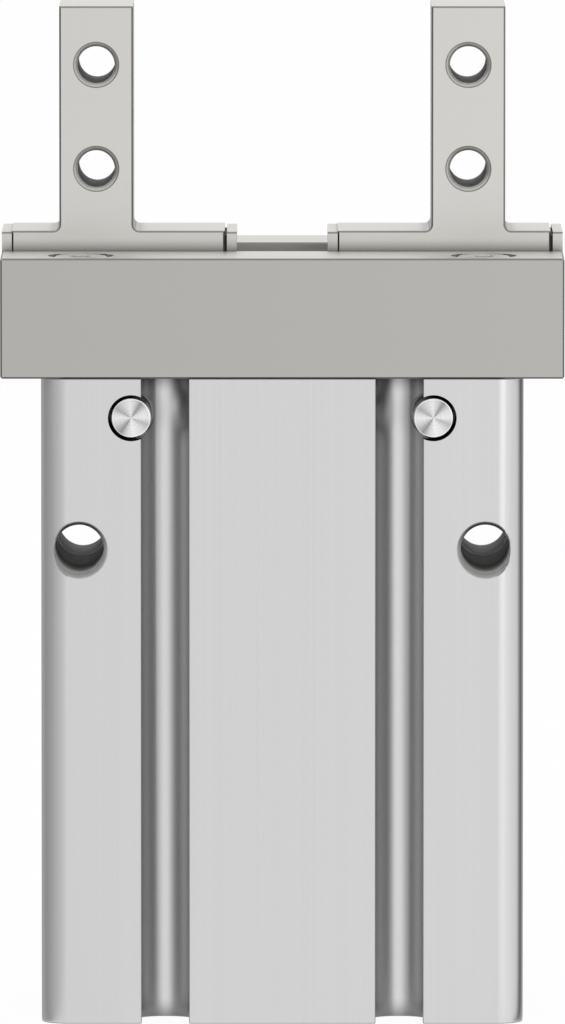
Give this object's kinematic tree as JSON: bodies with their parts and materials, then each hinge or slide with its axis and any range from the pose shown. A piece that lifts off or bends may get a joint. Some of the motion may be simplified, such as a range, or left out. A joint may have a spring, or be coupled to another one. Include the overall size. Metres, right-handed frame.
{
  "type": "parallel gripper",
  "caption": "Pneumatic parallel gripper: rectangular cylinder body with sensor slots, a wide guide block across its top and T-shaped jaws that close together through levers.",
  "frame": {"origin": "centre of the body's bottom face", "axes": "+X along the jaws' travel, -Y out of the front with the sensor slots, +Z towards the jaws"},
  "size_m": [0.038, 0.022, 0.0685],
  "materials": {
    "anodised_body": "natural anodised extrusion",
    "ground_block": "ground stainless steel",
    "screws": "plated steel",
    "pins": "turned steel",
    "bronze_bush": "sintered bronze",
    "seal_rubber": "moulded nitrile rubber",
    "bumper_rubber": "moulded polyurethane",
    "turned_aluminium": "turned",
    "spring_steel": "phosphated spring steel",
    "magnet": "plastic bonded magnet",
    "guide_ring_plastic": "filled plastic",
    "rod_chrome": "polished hard chrome",
    "hardened_steel": "hardened and ground",
    "jaw_steel": "ground stainless steel",
    "plate_steel": "stamped stainless steel",
    "ball_steel": "polished bearing steel"
  },
  "bodies": {
    "housing": {"housing": "anodised_body", "guide_block": "ground_block", "guide_screws": "screws", "pivot_pin_left": "pins", "pivot_pin_right": "pins", "rod_bush": "bronze_bush", "rod_seal": "seal_rubber", "seal_retainer": "turned_aluminium", "upper_bumper": "bumper_rubber", "lower_bumper": "bumper_rubber", "end_cap": "turned_aluminium", "cap_seal_ring": "seal_rubber", "retaining_ring": "spring_steel"},
    "piston": {"piston_upper": "turned_aluminium", "piston_lower": "turned_aluminium", "piston_seal_upper": "seal_rubber", "piston_seal_lower": "seal_rubber", "piston_magnet": "magnet", "piston_guide_ring": "guide_ring_plastic", "piston_rod": "rod_chrome", "piston_screw": "screws", "drive_spool": "hardened_steel"},
    "lever_left": {"lever_left": "hardened_steel", "lever_bush_left": "bronze_bush"},
    "jaw_left": {"jaw_left": "jaw_steel", "jaw_left_outer_plate": "plate_steel", "jaw_left_inner_plate": "plate_steel", "jaw_left_wiper": "seal_rubber", "jaw_left_plate_screws": "screws", "jaw_left_balls": "ball_steel"},
    "lever_right": {"lever_right": "hardened_steel", "lever_bush_right": "bronze_bush"},
    "jaw_right": {"jaw_right": "jaw_steel", "jaw_right_outer_plate": "plate_steel", "jaw_right_inner_plate": "plate_steel", "jaw_right_wiper": "seal_rubber", "jaw_right_plate_screws": "screws", "jaw_right_balls": "ball_steel"}
  },
  "joints": [
    {"name": "piston_slide", "type": "slide", "parent": "housing", "child": "piston", "axis": [0, 0, -1], "range_m": [0, 0.00273]},
    {"name": "lever_left_turn", "type": "hinge", "parent": "housing", "child": "lever_left", "pos_m": [-0.01019, 0, 0.04108], "axis": [0, 1, 0], "range_deg": [0, 22.47]},
    {"name": "lever_right_turn", "type": "hinge", "parent": "housing", "child": "lever_right", "pos_m": [0.01019, 0, 0.04108], "axis": [0, -1, 0], "range_deg": [0, 22.47]},
    {"name": "jaw_left_slide", "type": "slide", "parent": "housing", "child": "jaw_left", "axis": [1, 0, 0], "range_m": [0, 0.003]},
    {"name": "jaw_right_slide", "type": "slide", "parent": "housing", "child": "jaw_right", "axis": [-1, 0, 0], "range_m": [0, 0.003]}
  ],
  "couplings": [
    {"joint": "lever_left_turn", "follows": "piston_slide", "rad_per_m": 143.78},
    {"joint": "lever_right_turn", "follows": "piston_slide", "rad_per_m": 143.78},
    {"joint": "jaw_left_slide", "follows": "piston_slide", "ratio": 1.1},
    {"joint": "jaw_right_slide", "follows": "piston_slide", "ratio": 1.1}
  ]
}
